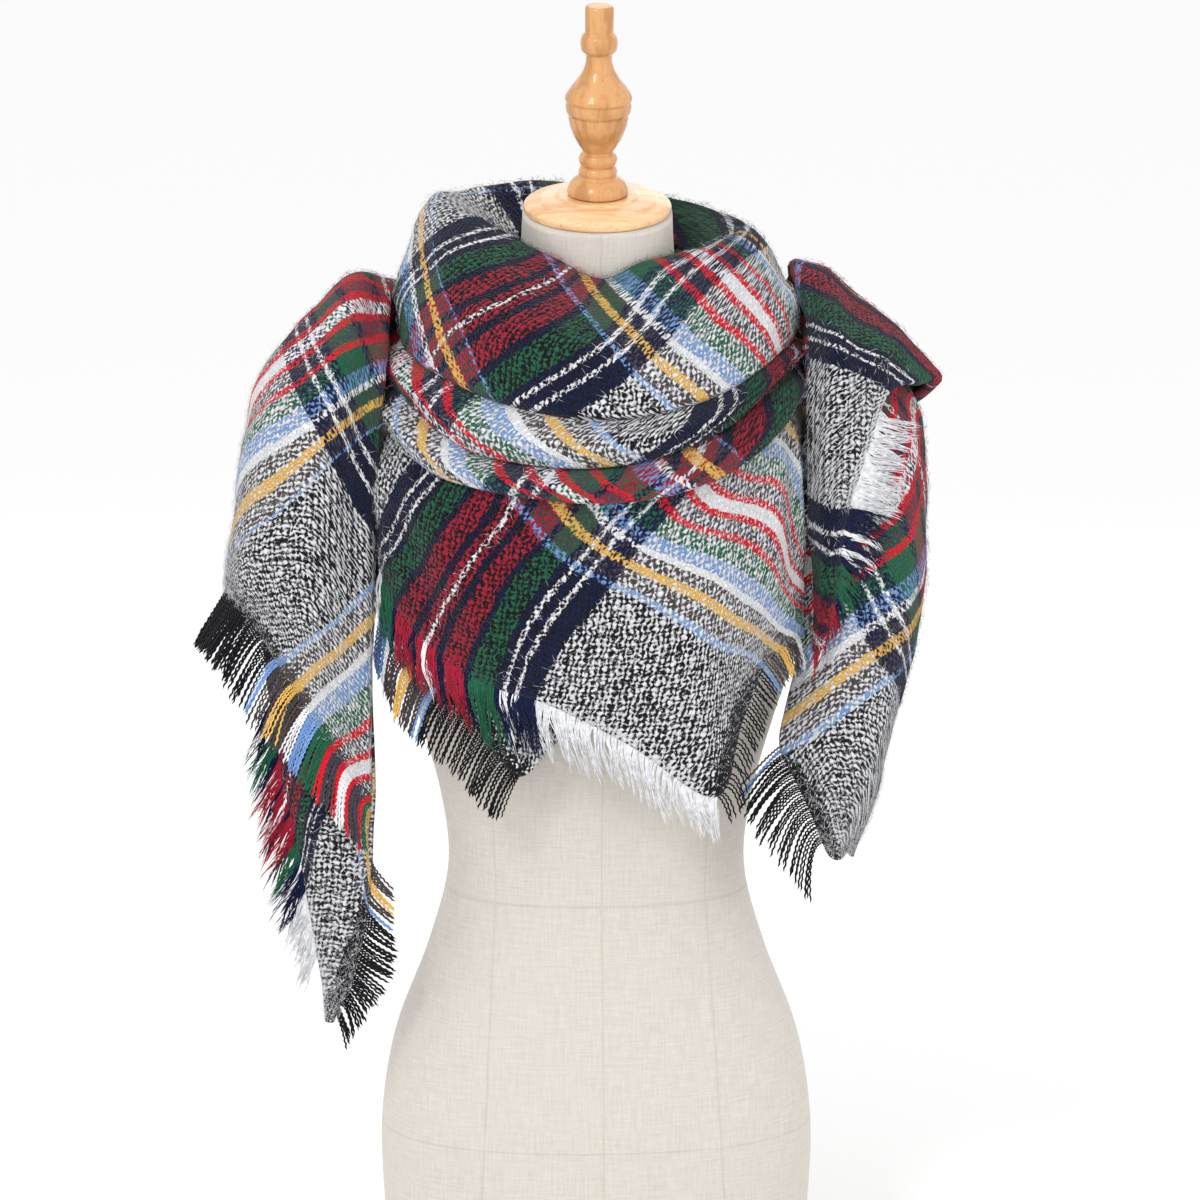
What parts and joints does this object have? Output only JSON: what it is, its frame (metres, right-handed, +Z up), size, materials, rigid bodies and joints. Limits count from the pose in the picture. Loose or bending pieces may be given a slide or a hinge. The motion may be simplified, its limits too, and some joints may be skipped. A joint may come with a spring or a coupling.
{
  "type": "blanket scarf on a dress form",
  "caption": "Large square fringed blanket scarf, wound round the neck of a limbless linen dress form with one corner in front and both ends over the shoulders",
  "frame": {"origin": "middle of the dress form's flat underside", "axes": "+Z up, -Y is the front of the form, +X is the form's left side, on the right when seen from in front"},
  "size_m": [0.571, 0.339, 1.004],
  "materials": {
    "weave": "brushed twill blanket cloth in a tartan of black, white, navy, green, red, light blue and yellow",
    "linen": "natural off-white linen, plain weave",
    "wood": "turned honey-coloured wood with a clear gloss lacquer"
  },
  "bodies": {
    "root": {"form_body": "linen", "neck_cap": "wood", "finial": "wood", "cowl_top": "weave", "cowl_mid": "weave", "cowl_low": "weave", "nape_band": "weave", "bib_front": "weave", "bib_back": "weave", "tail_left": "weave", "tail_left_under": "weave", "tail_right": "weave", "tail_right_fold": "weave", "fringe_bib_hem": "weave", "fringe_bib_side": "weave", "fringe_bib_back": "weave", "fringe_tail_left": "weave", "fringe_under_left": "weave", "fringe_under_right": "weave", "fringe_tail_right": "weave", "fringe_right_fold": "weave"}
  },
  "joints": []
}
